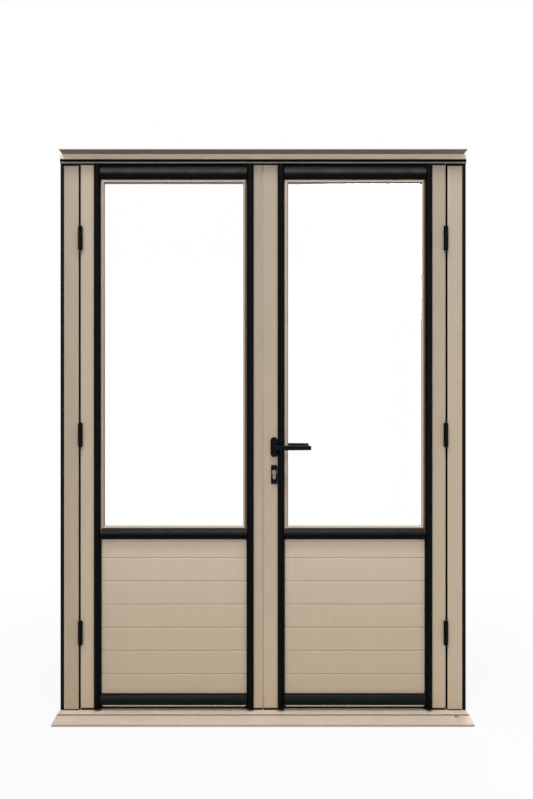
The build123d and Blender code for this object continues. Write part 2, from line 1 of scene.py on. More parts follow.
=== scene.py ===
# %% [markdown]
# # A half-glazed double door
#
# This lesson dresses a double door that opens outward: two leaves in beige powder-coated aluminium,
# framed in black bars, with glass above and grooved panels below. The construction comes in as fixed
# meshes, in metres, with X to the right, Y into the wall and Z up. We only add finishes, small pieces
# and light, so nothing that we do here may move or resize what is loaded.

# %% Load the frame
import json
import math
import bpy
import bmesh
from mathutils import Matrix, Vector


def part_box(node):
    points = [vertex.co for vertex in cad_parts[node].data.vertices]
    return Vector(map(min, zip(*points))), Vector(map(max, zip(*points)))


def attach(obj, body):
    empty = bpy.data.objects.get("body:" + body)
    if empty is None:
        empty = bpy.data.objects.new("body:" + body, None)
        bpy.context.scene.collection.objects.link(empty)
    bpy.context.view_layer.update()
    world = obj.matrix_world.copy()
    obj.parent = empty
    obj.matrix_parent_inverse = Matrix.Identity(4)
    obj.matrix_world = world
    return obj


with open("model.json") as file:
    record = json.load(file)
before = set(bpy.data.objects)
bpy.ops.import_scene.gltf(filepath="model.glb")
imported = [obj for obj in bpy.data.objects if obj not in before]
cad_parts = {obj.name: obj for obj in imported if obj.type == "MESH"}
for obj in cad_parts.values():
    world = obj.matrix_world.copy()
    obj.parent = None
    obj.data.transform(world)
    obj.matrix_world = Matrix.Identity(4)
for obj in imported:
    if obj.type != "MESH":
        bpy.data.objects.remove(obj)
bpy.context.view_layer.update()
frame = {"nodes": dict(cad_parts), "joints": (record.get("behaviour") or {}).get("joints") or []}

MM = 0.001
nodes = frame["nodes"]

# %% [markdown]
# ## The camera
#
# The photograph is taken square to the door from about 2.6 m, at chest height. We see the top of the
# sill and the underside of the hood, and both follow from that height alone, so the camera stays level
# and needs no shift. A lens of 33 mm on a 36 mm sensor gives the door the same share of the picture.

# %% Camera
CAMERA_X = 12.0 * MM
CAMERA_DISTANCE = 2.60
CAMERA_HEIGHT = 1.114
LENS = 33.09
SENSOR = 36.0


def add_object(name, data):
    """A new object with this data, linked into the scene."""
    thing = bpy.data.objects.new(name, data)
    bpy.context.scene.collection.objects.link(thing)
    return thing


camera_data = bpy.data.cameras.new("front_camera")
camera_data.lens = LENS
camera_data.sensor_width = SENSOR
camera = add_object("front_camera", camera_data)
camera.location = (CAMERA_X, -CAMERA_DISTANCE, CAMERA_HEIGHT)
camera.rotation_euler = (math.radians(90), 0, 0)
bpy.context.scene.camera = camera
bpy.context.scene.view_settings.view_transform = "Standard"
print("camera stands", CAMERA_DISTANCE, "m in front of the leaves")

# %% [markdown]
# ## Small helpers for node trees
#
# Every finish and every repeated piece below is a tree of nodes, and a few helpers keep that short. The
# first turns a screen colour into the linear values that shaders use. The others add a node with its
# plain attributes, feed a socket with a link or a plain value, do one step of arithmetic, and spread a
# value between two limits.


# %% Helpers for node trees
def srgb(red, green, blue):
    """A colour written as on a screen, 0 to 255, in the linear values that shaders use."""
    def channel(value):
        share = value / 255
        return share / 12.92 if share <= 0.04045 else ((share + 0.055) / 1.055) ** 2.4
    return (channel(red), channel(green), channel(blue), 1.0)


def add_node(tree, kind, **attributes):
    """A node of this kind in the tree, with its plain attributes set."""
    node = tree.nodes.new(kind)
    for name, value in attributes.items():
        setattr(node, name, value)
    return node


def feed(tree, socket, value):
    """Fills an input: with a link where the value is a socket, and else with the plain value."""
    if isinstance(value, bpy.types.NodeSocket):
        tree.links.new(value, socket)
    else:
        socket.default_value = value


def calculate(tree, operation, first, second=0.0):
    """One step of arithmetic on numbers or number sockets."""
    node = add_node(tree, "ShaderNodeMath", operation=operation)
    feed(tree, node.inputs[0], first)
    feed(tree, node.inputs[1], second)
    return node.outputs[0]


def spread(tree, value, low, high, low_result=0.0, high_result=1.0):
    """A value's place between two limits, as a number between two results."""
    node = add_node(tree, "ShaderNodeMapRange")
    for socket, number in zip(node.inputs[1:5], (low, high, low_result, high_result)):
        socket.default_value = number
    tree.links.new(value, node.inputs["Value"])
    return node.outputs["Result"]


# %% [markdown]
# ## The studio
#
# A door sample is photographed on white. The world gives an even, shadowless base at part strength and
# turns full white only for rays that come straight from the camera, off gloss or through glass. The
# floor is a large pale sheet that does the same: close to the door some of its own shade shows, so the
# door stands in its shadow, and farther out it is as white as the world, so no horizon shows.


# %% World
WORLD_STRENGTH = 0.16
WARM_WHITE = (1.0, 0.99, 0.98, 1.0)
WHITE = (1.0, 1.0, 1.0, 1.0)


def white_ray_share(tree):
    """One for rays from the camera, off gloss or through glass, and nought for diffuse ones."""
    path = add_node(tree, "ShaderNodeLightPath")
    seen = calculate(tree, "MAXIMUM", path.outputs["Is Camera Ray"], path.outputs["Is Glossy Ray"])
    return calculate(tree, "MAXIMUM", seen, path.outputs["Is Transmission Ray"])


def background(tree, colour, strength):
    """A plain background shader."""
    node = add_node(tree, "ShaderNodeBackground")
    node.inputs["Color"].default_value = colour
    node.inputs["Strength"].default_value = strength
    return node.outputs[0]


world = bpy.data.worlds.new("studio_world")
bpy.context.scene.world = world
world.use_nodes = True
world_tree = world.node_tree
world_tree.nodes.clear()
world_mix = add_node(world_tree, "ShaderNodeMixShader")
world_out = add_node(world_tree, "ShaderNodeOutputWorld")
world_tree.links.new(white_ray_share(world_tree), world_mix.inputs[0])
world_tree.links.new(background(world_tree, WARM_WHITE, WORLD_STRENGTH), world_mix.inputs[1])
world_tree.links.new(background(world_tree, WHITE, 1.0), world_mix.inputs[2])
world_tree.links.new(world_mix.outputs[0], world_out.inputs["Surface"])
print("world strength on the door", WORLD_STRENGTH)

# %% Floor
FLOOR_REACH = 12.0
FLOOR_DROP = 0.5 * MM
FLOOR_COLOUR = (0.80, 0.80, 0.80, 1.0)
NEAR_RADIUS = 0.9
NEAR_WHITE = 0.88
FAR_RADIUS = 2.2

floor_mesh = bpy.data.meshes.new("studio_floor")
floor_corners = [(-1, -1, 0), (1, -1, 0), (1, 1, 0), (-1, 1, 0)]
floor_mesh.from_pydata(floor_corners, [], [(0, 1, 2, 3)])
floor_mesh.transform(Matrix.Translation((0, 0, -FLOOR_DROP)) @ Matrix.Scale(FLOOR_REACH, 4))
floor = add_object("studio_floor", floor_mesh)

floor_paper = bpy.data.materials.new("floor_paper")
floor_paper.use_nodes = True
floor_tree = floor_paper.node_tree
floor_tree.nodes.clear()
paper = add_node(floor_tree, "ShaderNodeBsdfDiffuse")
paper.inputs["Color"].default_value = FLOOR_COLOUR
glow = add_node(floor_tree, "ShaderNodeEmission")
glow.inputs["Strength"].default_value = 1.0
floor_place = add_node(floor_tree, "ShaderNodeTexCoord").outputs["Object"]
floor_distance = add_node(floor_tree, "ShaderNodeVectorMath", operation="LENGTH")
floor_tree.links.new(floor_place, floor_distance.inputs[0])
whiteness = spread(floor_tree, floor_distance.outputs["Value"], NEAR_RADIUS, FAR_RADIUS, NEAR_WHITE, 1.0)
floor_mix = add_node(floor_tree, "ShaderNodeMixShader")
floor_out = add_node(floor_tree, "ShaderNodeOutputMaterial")
white_share = calculate(floor_tree, "MULTIPLY", white_ray_share(floor_tree), whiteness)
feed(floor_tree, floor_mix.inputs[0], white_share)
floor_tree.links.new(paper.outputs[0], floor_mix.inputs[1])
floor_tree.links.new(glow.outputs[0], floor_mix.inputs[2])
floor_tree.links.new(floor_mix.outputs[0], floor_out.inputs["Surface"])
floor.data.materials.append(floor_paper)
print("floor reaches", FLOOR_REACH, "m each way")

# %% [markdown]
# ## Soft lamps
#
# The shadows of the hinges and of the lever are short and crisp and fall to the right and down, so a
# small key lamp stands high at the left. A wide softbox above the camera draws the soft bright line along
# each black rail, which only a lamp straight in front of a level rail can do. A low lamp in front keeps
# the fascia under the hood readable, one overhead lights the sill, and a weak one at the right makes the
# right-hand leaf a little brighter than the left, as it is in the picture. The last lamp stands inside,
# where the picture shows nothing, so that the back of the door can be seen too.


# %% Lamps
def soft_lamp(name, place, aim, width, height, power):
    """A rectangular area lamp at one place, turned towards a point."""
    data = bpy.data.lights.new(name, "AREA")
    data.shape = "RECTANGLE"
    data.size = width
    data.size_y = height
    data.energy = power
    lamp = add_object(name, data)
    lamp.location = place
    lamp.rotation_euler = (Vector(aim) - Vector(place)).to_track_quat("-Z", "Y").to_euler()
    print(name, power, "W")


soft_lamp("key_lamp", (-3.8, -9.1, 7.9), aim=(0, 0, 1.1), width=1.6, height=1.6, power=350)
soft_lamp("rail_lamp", (-0.3, -4.2, 4.6), aim=(0, 0, 1.1), width=3.8, height=0.7, power=28)
soft_lamp("front_lamp", (-0.2, -4.8, 1.2), aim=(0, 0, 1.1), width=2.4, height=2.0, power=24)
soft_lamp("right_lamp", (3.4, -3.6, 1.5), aim=(0, 0, 1.0), width=2.0, height=2.0, power=26)
soft_lamp("top_lamp", (0, -1.6, 4.4), aim=(0, -0.1, 0), width=2.2, height=1.0, power=100)
soft_lamp("back_lamp", (1.5, 4.0, 3.0), aim=(0, 0, 1.0), width=2.0, height=2.0, power=90)

# %% [markdown]
# ## Powder coat
#
# Powder coat is a baked plastic skin on the metal. It has a satin gloss, a fine orange peel about a
# millimetre across, and almost no colour variation, apart from faint streaks where rain runs down and
# a film of dust on whatever faces up; on the black coats that grey film is mostly a painted highlight.
# An extruded edge is never knife sharp either: the coat rounds it, and catches light there, and its
# colour is painted paler along the edges as a painted highlight. We make all of it from object
# coordinates, which here are the door's own metres, so the grain has its real size and stays put when a
# leaf turns. The Bevel node bends the normals near an edge, so the meshes stay as they are.

# %% Surface helpers
EDGE_RADIUS = 1.3 * MM
EDGE_SAMPLES = 6
FLAT_LEAN = 0.995
EDGE_LEAN = 0.80


def new_finish(name):
    """A new material with its principled shader, its tree and its object coordinates."""
    material = bpy.data.materials.new(name)
    material.use_nodes = True
    tree = material.node_tree
    shader = tree.nodes["Principled BSDF"]
    coordinates = add_node(tree, "ShaderNodeTexCoord").outputs["Object"]
    return material, tree, shader, coordinates


def noise(tree, coordinates, scale, detail=2.0, stretch=None):
    """Noise at a scale in waves per metre, squeezed along the axes where asked."""
    node = add_node(tree, "ShaderNodeTexNoise")
    node.inputs["Scale"].default_value = scale
    node.inputs["Detail"].default_value = detail
    if stretch:
        mapping = add_node(tree, "ShaderNodeMapping")
        mapping.inputs["Scale"].default_value = stretch
        tree.links.new(coordinates, mapping.inputs["Vector"])
        coordinates = mapping.outputs["Vector"]
    tree.links.new(coordinates, node.inputs["Vector"])
    return node.outputs["Fac"]


def ramp(tree, value, stops):
    """A colour ramp over a value, from pairs of place and colour."""
    node = add_node(tree, "ShaderNodeValToRGB")
    while len(node.color_ramp.elements) < len(stops):
        node.color_ramp.elements.new(0.5)
    for element, (place, colour) in zip(node.color_ramp.elements, stops):
        element.position = place
        element.color = colour
    tree.links.new(value, node.inputs["Fac"])
    return node.outputs["Color"]


def mix_colour(tree, share, first, second, blend="MIX"):
    """Two colours mixed; each is a socket or a plain colour, and the share a socket or a number."""
    node = add_node(tree, "ShaderNodeMix", data_type="RGBA", blend_type=blend)
    for socket, value in ((node.inputs[0], share), (node.inputs[6], first), (node.inputs[7], second)):
        feed(tree, socket, value)
    return node.outputs[2]


def rounded_normal(tree, radius=EDGE_RADIUS):
    """Normals that turn smoothly over each edge, as a coated or moulded edge does."""
    node = add_node(tree, "ShaderNodeBevel", samples=EDGE_SAMPLES)
    node.inputs["Radius"].default_value = radius
    return node.outputs["Normal"]


def edge_share(tree, rounded):
    """Nought on a flat face, rising towards its edges, where the rounded normal leans away."""
    lean = add_node(tree, "ShaderNodeVectorMath", operation="DOT_PRODUCT")
    tree.links.new(rounded, lean.inputs[0])
    tree.links.new(add_node(tree, "ShaderNodeNewGeometry").outputs["Normal"], lean.inputs[1])
    return spread(tree, lean.outputs["Value"], FLAT_LEAN, EDGE_LEAN)


def height_share(tree, coordinates, low, high):
    """Nought at a low height and one at a high one, in metres above the threshold's underside."""
    split = add_node(tree, "ShaderNodeSeparateXYZ")
    tree.links.new(coordinates, split.inputs[0])
    return spread(tree, split.outputs["Z"], low, high)


def relief(tree, shader, height, depth, strength, normal):
    """Relief of a given depth in metres, on top of the rounded normals."""
    node = add_node(tree, "ShaderNodeBump")
    node.inputs["Distance"].default_value = depth
    node.inputs["Strength"].default_value = strength
    tree.links.new(height, node.inputs["Height"])
    tree.links.new(normal, node.inputs["Normal"])
    tree.links.new(node.outputs["Normal"], shader.inputs["Normal"])


# %% Powder coat
DUST = srgb(196, 184, 166)
# The grey below is the painted highlight on the black coats, partly dust.
GREY_SHEEN_AND_DUST = srgb(180, 182, 186)
# The brown below darkens the faces that look one way, as painted shade.
PAINTED_SHADE_COLOUR = srgb(104, 84, 70)
PEEL_WAVES = 900.0
PEEL_DEPTH = 0.15 * MM
STREAK_WAVES = 3.0
STREAK_STRETCH = (16, 16, 1.0)
STREAK_RANGE = (0.32, 0.68)
PATCH_WAVES = 22.0
GRAIN_WAVES = 240.0
GRAIN_RANGE = (0.3, 0.7)
GLOSS_BELOW = 0.04
GLOSS_ABOVE = 0.05
# The two numbers below make the painted highlight along edges.
EDGE_HIGHLIGHT_GAIN = 1.5
EDGE_HIGHLIGHT_LIFT = 0.01
PAINTED_SHADE_RANGE = (0.1, 0.4)
UP = (0, 0, 1)


def towards(tree, direction, low, high):
    """One on faces that look along a direction, nought on the others."""
    lean = add_node(tree, "ShaderNodeVectorMath", operation="DOT_PRODUCT")
    tree.links.new(add_node(tree, "ShaderNodeNewGeometry").outputs["Normal"], lean.inputs[0])
    lean.inputs[1].default_value = direction
    return spread(tree, lean.outputs["Value"], low, high)


def powder_coat(
        name, low_colour, high_colour, roughness, gloss=0.4, mottle=0.03, peel=0.12, painted_edge_highlight=0.16,
        heights=(0.0, 2.0), dust_and_sheen=0.35, dust_and_sheen_colour=DUST, dust_and_sheen_slopes=(0.5, 0.95), dust_and_sheen_end=None,
        dust_and_sheen_patches=(0.35, 0.72), painted_shade=0.0, shaded_side=(0, -1, 0)):
    """Powder coat: colour by height, rain streaks, a painted highlight on edges, dust with painted sheen
    by slope, and painted shade on one side.
    """
    material, tree, shader, coordinates = new_finish(name)
    rounded = rounded_normal(tree)
    body = mix_colour(tree, height_share(tree, coordinates, *heights), low_colour, high_colour)
    rain = noise(tree, coordinates, STREAK_WAVES, detail=4.0, stretch=STREAK_STRETCH)
    streak_colours = ((1 - mottle, 1 - mottle, 1 - mottle, 1), WHITE)
    streaks = ramp(tree, rain, list(zip(STREAK_RANGE, streak_colours)))
    streaked = mix_colour(tree, 1.0, body, streaks, "MULTIPLY")
    # Painted highlight: the colour turns paler along the edges.
    edge_highlight_colour = tuple(min(1.0, channel * EDGE_HIGHLIGHT_GAIN + EDGE_HIGHLIGHT_LIFT) for channel in high_colour[:3]) + (1.0,)
    edge_highlighted = mix_colour(tree, calculate(tree, "MULTIPLY", edge_share(tree, rounded), painted_edge_highlight), streaked, edge_highlight_colour)
    # On the black coats this film is mostly a painted highlight, and on the others it is dust.
    slope_share = towards(tree, UP, *dust_and_sheen_slopes)
    if dust_and_sheen_end:
        ended = calculate(tree, "SUBTRACT", 1.0, towards(tree, UP, *dust_and_sheen_end))
        slope_share = calculate(tree, "MULTIPLY", slope_share, ended)
    patches = spread(tree, noise(tree, coordinates, PATCH_WAVES, detail=6.0), *dust_and_sheen_patches)
    dust_and_sheen_share = calculate(tree, "MULTIPLY", calculate(tree, "MULTIPLY", slope_share, patches), dust_and_sheen)
    dust_and_sheen_mixed = mix_colour(tree, dust_and_sheen_share, edge_highlighted, dust_and_sheen_colour)
    # Painted shade: faces that look towards one side turn dark brown.
    painted_shade_share = calculate(tree, "MULTIPLY", towards(tree, shaded_side, *PAINTED_SHADE_RANGE), painted_shade)
    tree.links.new(mix_colour(tree, painted_shade_share, dust_and_sheen_mixed, PAINTED_SHADE_COLOUR), shader.inputs["Base Color"])
    grain = noise(tree, coordinates, GRAIN_WAVES, detail=3.0)
    grain_gloss = spread(tree, grain, *GRAIN_RANGE, roughness - GLOSS_BELOW, roughness + GLOSS_ABOVE)
    tree.links.new(grain_gloss, shader.inputs["Roughness"])
    shader.inputs["Specular IOR Level"].default_value = gloss
    orange_peel = noise(tree, coordinates, PEEL_WAVES, detail=3.0)
    relief(tree, shader, orange_peel, PEEL_DEPTH, peel, rounded)
    return material


def black_powder_coat(name, dust_and_sheen, dust_and_sheen_slopes, dust_and_sheen_end=None):
    """The coat of the bars and rails: nearly black, with a grey film, partly dust and mostly a painted
    highlight, on chosen slopes.
    """
    return powder_coat(
        name, srgb(4, 5, 6), srgb(5, 5, 6), roughness=0.33,
        gloss=0.05, mottle=0.2, peel=0.06, painted_edge_highlight=0.08, dust_and_sheen=dust_and_sheen, dust_and_sheen_colour=GREY_SHEEN_AND_DUST,
        dust_and_sheen_slopes=dust_and_sheen_slopes, dust_and_sheen_end=dust_and_sheen_end, dust_and_sheen_patches=(-0.2, 0.9))


# %% [markdown]
# ## The coats of this door
#
# One beige covers the door, and copies of it paint light and shade: most have one colour at the foot and
# another at the head, painted to follow how light changes along them, darker copies paint the shade on
# some profiles, and paler ones paint light into places that lie in shade. The three blacks differ only in
# their grey film, partly dust and mostly a painted highlight: most on the top rails, least on the bottom
# rails.

# %% The powder coats of this door
SATIN = 0.46
MATT = 0.50

# Painted shade and light: the foot and head colours of these beiges follow how light falls along each
# profile, and the darker copies paint the shade on the profiles that get them.
beige_coat = powder_coat("beige_powder_coat", srgb(188, 169, 145), srgb(163, 150, 134), SATIN)
shaded_beige_coat = powder_coat(
    "shaded_beige_powder_coat", srgb(174, 156, 132), srgb(153, 141, 126), SATIN, mottle=0.06)
head_shaded_coat = powder_coat("head_shaded_beige_powder_coat", srgb(188, 169, 145), srgb(150, 138, 123), SATIN)
meeting_coat = powder_coat(
    "meeting_powder_coat", srgb(186, 168, 144), srgb(142, 131, 117), SATIN, mottle=0.06)
# Painted shade and light: the header is dark below 1.953 m, which paints the shade at its lip, and pale
# above 1.964 m, which paints light onto the fascia under the hood.
header_coat = powder_coat(
    "header_powder_coat", srgb(138, 132, 118), srgb(232, 218, 198), SATIN, heights=(1.953, 1.964))
# Painted shade: the bead faces that look right and down are darkened, as shade.
bead_coat = powder_coat(
    "bead_powder_coat", srgb(197, 183, 162), srgb(191, 178, 160), SATIN,
    painted_shade=0.9, shaded_side=(0.7, 0, -0.7))
# Painted light: the bottom strips, which lie in the shade of the rails above them, get a paler beige.
strip_coat = powder_coat("strip_powder_coat", srgb(236, 222, 204), srgb(236, 222, 204), SATIN)
panel_coat = powder_coat(
    "panel_powder_coat", srgb(184, 167, 144), srgb(192, 176, 157), MATT, heights=(0.3, 0.62))
# Painted shade: the sill's forward faces are darkened, as shade.
sill_coat = powder_coat(
    "sill_powder_coat", srgb(217, 201, 185), srgb(217, 201, 185), MATT, mottle=0.06, dust_and_sheen=0.5, painted_shade=0.6)
# Painted light: the tread is paler than the apron, to make up for the shade beside the leaves.
tread_coat = powder_coat(
    "tread_powder_coat", srgb(226, 210, 190), srgb(226, 210, 190), MATT, mottle=0.06,
    dust_and_sheen=0.5, dust_and_sheen_colour=srgb(208, 193, 172))
# Painted shade: the hood's brown paints the shade on its underside.
hood_shade_coat = powder_coat("hood_shade_brown_coat", srgb(132, 114, 100), srgb(132, 114, 100), roughness=0.60)
# Painted highlight: the grey film on the blacks stands in for the soft bright line along each rail. On the
# top rails it is a band round the middle of the crown, on the bars and mid rails it lies on the upward
# slopes, and on the bottom rails it is a faint film.
black_coat = black_powder_coat("black_powder_coat", dust_and_sheen=0.083, dust_and_sheen_slopes=(0.05, 0.95))
top_rail_coat = black_powder_coat(
    "sheen_black_powder_coat", dust_and_sheen=0.16, dust_and_sheen_slopes=(-0.24, 0.02), dust_and_sheen_end=(0.02, 0.28))
bottom_rail_coat = black_powder_coat("clean_black_powder_coat", dust_and_sheen=0.02, dust_and_sheen_slopes=(-1.0, -0.5))
print("powder coats", [m.name for m in (beige_coat, bead_coat, panel_coat, sill_coat, black_coat)])

# %% [markdown]
# ## Rubber, plastic, metal and glass
#
# Rubber and black plastic are rougher and catch dust. Nickel and steel are brushed along one way, so
# their noise is stretched along it. The glass is a closed slab. It stays clear, with a breath of green,
# and part of the light passes it straight, so the beads behind it aren't dark.


# %% Rubber and plastic
SPECK_WAVES = 60.0
SPECK_COLOUR = srgb(30, 29, 28)
RUBBER_DEPTH = 0.2 * MM
RUBBER_EDGE = 0.6 * MM


def dull_black(name, colour, roughness, grain, gloss=0.05):
    """Dark rubber or plastic with a fine grain and a breath of dust in it."""
    material, tree, shader, coordinates = new_finish(name)
    specks = noise(tree, coordinates, SPECK_WAVES, detail=5.0)
    tree.links.new(ramp(tree, specks, [(0.5, colour), (0.9, SPECK_COLOUR)]), shader.inputs["Base Color"])
    shader.inputs["Roughness"].default_value = roughness
    shader.inputs["Specular IOR Level"].default_value = gloss
    fine_grain = noise(tree, coordinates, grain, detail=3.0)
    rounded = rounded_normal(tree, RUBBER_EDGE)
    relief(tree, shader, fine_grain, RUBBER_DEPTH, strength=0.25, normal=rounded)
    return material


rubber_black = dull_black("seal_rubber", srgb(6, 6, 6), roughness=0.75, grain=700.0)
# Painted shade: thin dark brown strips darken the hinge gaps, as shade.
gap_shade_brown = dull_black("hinge_gap_shade_strip", srgb(26, 21, 18), roughness=0.80, grain=700.0)
plastic_black = dull_black(
    "side_profile_plastic", srgb(10, 10, 11), roughness=0.50, grain=1200.0, gloss=0.07)
# Painted light: the seal between the leaves is a pale beige, so the gap there shows little shade.
seal_beige = powder_coat(
    "beige_seal_rubber", srgb(198, 180, 158), srgb(198, 184, 168), roughness=0.75, gloss=0.2, dust_and_sheen=0.0)
seal_grey = powder_coat(
    "grey_gasket_rubber", srgb(132, 127, 118), srgb(132, 128, 122), roughness=0.75, gloss=0.2, dust_and_sheen=0.0)
# Painted shade: the brown of the strip in the sill's joint paints the shade on the step there.
joint_shade_brown = powder_coat(
    "sill_joint_shade_coat", srgb(104, 84, 64), srgb(104, 84, 64), roughness=0.80,
    gloss=0.2, mottle=0.25, painted_edge_highlight=0.0, dust_and_sheen=0.1)
print("rubbers", [m.name for m in (rubber_black, gap_shade_brown, seal_beige, seal_grey, joint_shade_brown)])


# %% Hardware metals
SCRATCH_WAVES = 300.0
SCRATCH_RANGE = (0.3, 0.7)
SCRATCH_DEPTH = 0.05 * MM
METAL_EDGE = 0.4 * MM


def brushed(name, dark, light, roughness, stretch):
    """Brushed metal: fine scratches along one axis in colour, gloss and relief."""
    material, tree, shader, coordinates = new_finish(name)
    lines = noise(tree, coordinates, SCRATCH_WAVES, detail=4.0, stretch=stretch)
    colours = ramp(tree, lines, list(zip(SCRATCH_RANGE, (dark, light))))
    tree.links.new(colours, shader.inputs["Base Color"])
    shader.inputs["Metallic"].default_value = 1.0
    scratch_gloss = spread(tree, lines, *SCRATCH_RANGE, roughness + 0.06, roughness - 0.04)
    tree.links.new(scratch_gloss, shader.inputs["Roughness"])
    rounded = rounded_normal(tree, METAL_EDGE)
    relief(tree, shader, lines, SCRATCH_DEPTH, strength=0.3, normal=rounded)
    return material


nickel = brushed(
    "satin_nickel", srgb(92, 88, 80), srgb(128, 123, 112), roughness=0.34, stretch=(1, 1, 12))
steel = brushed(
    "brushed_steel", srgb(150, 150, 148), srgb(190, 190, 188), roughness=0.35, stretch=(10, 10, 1))
brass = brushed(
    "screw_brass", srgb(176, 118, 66), srgb(226, 168, 108), roughness=0.38, stretch=(1, 8, 8))
hardware_black = powder_coat(
    "black_hardware_lacquer", srgb(5, 6, 7), srgb(5, 6, 7), roughness=0.32,
    gloss=0.05, mottle=0.1, peel=0.04, painted_edge_highlight=0.08, dust_and_sheen=0.03)
print("metals and lacquer", [m.name for m in (nickel, steel, brass, hardware_black)])

# %% Glass
GLASS_TINT = (0.97, 0.995, 0.985, 1.0)
GLASS_INDEX = 1.45
GLASS_ALPHA = 0.25

glass, _, glass_shader, _ = new_finish("clear_glass")
glass_shader.inputs["Base Color"].default_value = GLASS_TINT
glass_shader.inputs["Roughness"].default_value = 0.0
glass_shader.inputs["Transmission Weight"].default_value = 1.0
glass_shader.inputs["IOR"].default_value = GLASS_INDEX
glass_shader.inputs["Alpha"].default_value = GLASS_ALPHA
print("glass bends light by", GLASS_INDEX, "and lets", 1 - GLASS_ALPHA, "of it straight through")

# %% [markdown]
# ## A finish for every loaded piece
#
# Each piece of the construction belongs to one finish. The tables below read like a maker's parts list,
# with one table for the pieces that both sides of the door have. Three stiles and the left jamb get
# shaded copies of the beige, which paint the shade on them. The last loop puts each finish into the
# piece's material slot without touching its mesh.

# %% Finishes
FINISHES = {
    "threshold": tread_coat,
    "sill_apron": sill_coat,
    "header": header_coat,
    "header_gasket": rubber_black,
    "drip_hood": hood_shade_coat,
    "jamb_caps": plastic_black,
    "stop_gasket": rubber_black,
    "left_jamb": shaded_beige_coat,
    "right_jamb": beige_coat,
    "meeting_seal": seal_beige,
    "strike_plate": steel,
    "lock_faceplate": steel,
    "lock_cylinder": nickel,
    "handle_roses": hardware_black,
    "cylinder_escutcheons": hardware_black,
    "outside_lever": hardware_black,
    "inside_lever": hardware_black,
    "spindle": steel,
}
FINISHES_OF_BOTH_SIDES = {
    "side_seal": plastic_black,
    "hinge_stile": beige_coat,
    "meeting_stile": beige_coat,
    "hinge_side_bar": black_coat,
    "meeting_side_bar": black_coat,
    "top_rail": top_rail_coat,
    "mid_rail": black_coat,
    "bottom_rail": bottom_rail_coat,
    "glass": glass,
    "glazing_beads": bead_coat,
    "panel": panel_coat,
    "bottom_strip": strip_coat,
    "leaf_hinges": hardware_black,
    "frame_hinges": hardware_black,
}
for side in ("left", "right"):
    for piece, finish in FINISHES_OF_BOTH_SIDES.items():
        FINISHES[f"{side}_{piece}"] = finish
# Shaded copies of the beige on three stiles, as painted shade.
FINISHES["left_meeting_stile"] = meeting_coat
FINISHES["right_meeting_stile"] = head_shaded_coat
FINISHES["right_hinge_stile"] = head_shaded_coat
for name, node in nodes.items():
    for slot in node.material_slots:
        slot.material = FINISHES[name]
print(len(FINISHES), "pieces finished, of", len(nodes))

# %% [markdown]
# ## Small pieces by Geometry Nodes
#
# Screws, caps, collars and gaskets repeat over the door, so each kind is one small tree. A tree starts
# from a cloud of spots: a mesh of single points, each with a direction that the piece faces. It makes
# the piece once from sizes that have names, puts a copy on every spot, and ends in Realize Instances
# and Set Material, so that what comes out is one plain mesh for each body.


# %% Helpers for geometry trees
def new_shape_tree(name, sizes):
    """A tree with the spots as its input and one named number for each size, in metres."""
    tree = bpy.data.node_groups.new(name, "GeometryNodeTree")
    tree.interface.new_socket("Spots", in_out="INPUT", socket_type="NodeSocketGeometry")
    for label, value in sizes.items():
        size = tree.interface.new_socket(label, in_out="INPUT", socket_type="NodeSocketFloat")
        size.default_value = value
    tree.interface.new_socket("Finish", in_out="INPUT", socket_type="NodeSocketMaterial")
    tree.interface.new_socket("Pieces", in_out="OUTPUT", socket_type="NodeSocketGeometry")
    return tree, add_node(tree, "NodeGroupInput").outputs


def vector_of(tree, x, y, z):
    """A vector from three numbers or number sockets."""
    node = add_node(tree, "ShaderNodeCombineXYZ")
    for socket, value in zip(node.inputs, (x, y, z)):
        feed(tree, socket, value)
    return node.outputs[0]


def copy_to_spots(tree, inputs, shape, seed=None):
    """Puts the shape on every spot, facing its way; a seed gives each copy a turn of its own."""
    facing = add_node(tree, "GeometryNodeInputNamedAttribute", data_type="FLOAT_VECTOR")
    facing.inputs["Name"].default_value = "facing"
    align = add_node(tree, "FunctionNodeAlignRotationToVector", axis="Z")
    tree.links.new(facing.outputs[0], align.inputs["Vector"])
    rotation = align.outputs["Rotation"]
    if seed is not None:
        turn = add_node(tree, "FunctionNodeRandomValue", data_type="FLOAT")
        turn.inputs["Max"].default_value = math.pi
        turn.inputs["Seed"].default_value = seed
        spin = add_node(tree, "FunctionNodeRotateRotation", rotation_space="LOCAL")
        tree.links.new(rotation, spin.inputs["Rotation"])
        tree.links.new(vector_of(tree, 0.0, 0.0, turn.outputs[1]), spin.inputs["Rotate By"])
        rotation = spin.outputs[0]
    copies = add_node(tree, "GeometryNodeInstanceOnPoints")
    tree.links.new(inputs["Spots"], copies.inputs["Points"])
    tree.links.new(shape, copies.inputs["Instance"])
    tree.links.new(rotation, copies.inputs["Rotation"])
    realize = add_node(tree, "GeometryNodeRealizeInstances")
    tree.links.new(copies.outputs[0], realize.inputs[0])
    paint = add_node(tree, "GeometryNodeSetMaterial")
    tree.links.new(realize.outputs[0], paint.inputs["Geometry"])
    tree.links.new(inputs["Finish"], paint.inputs["Material"])
    tree.links.new(paint.outputs[0], add_node(tree, "NodeGroupOutput").inputs[0])


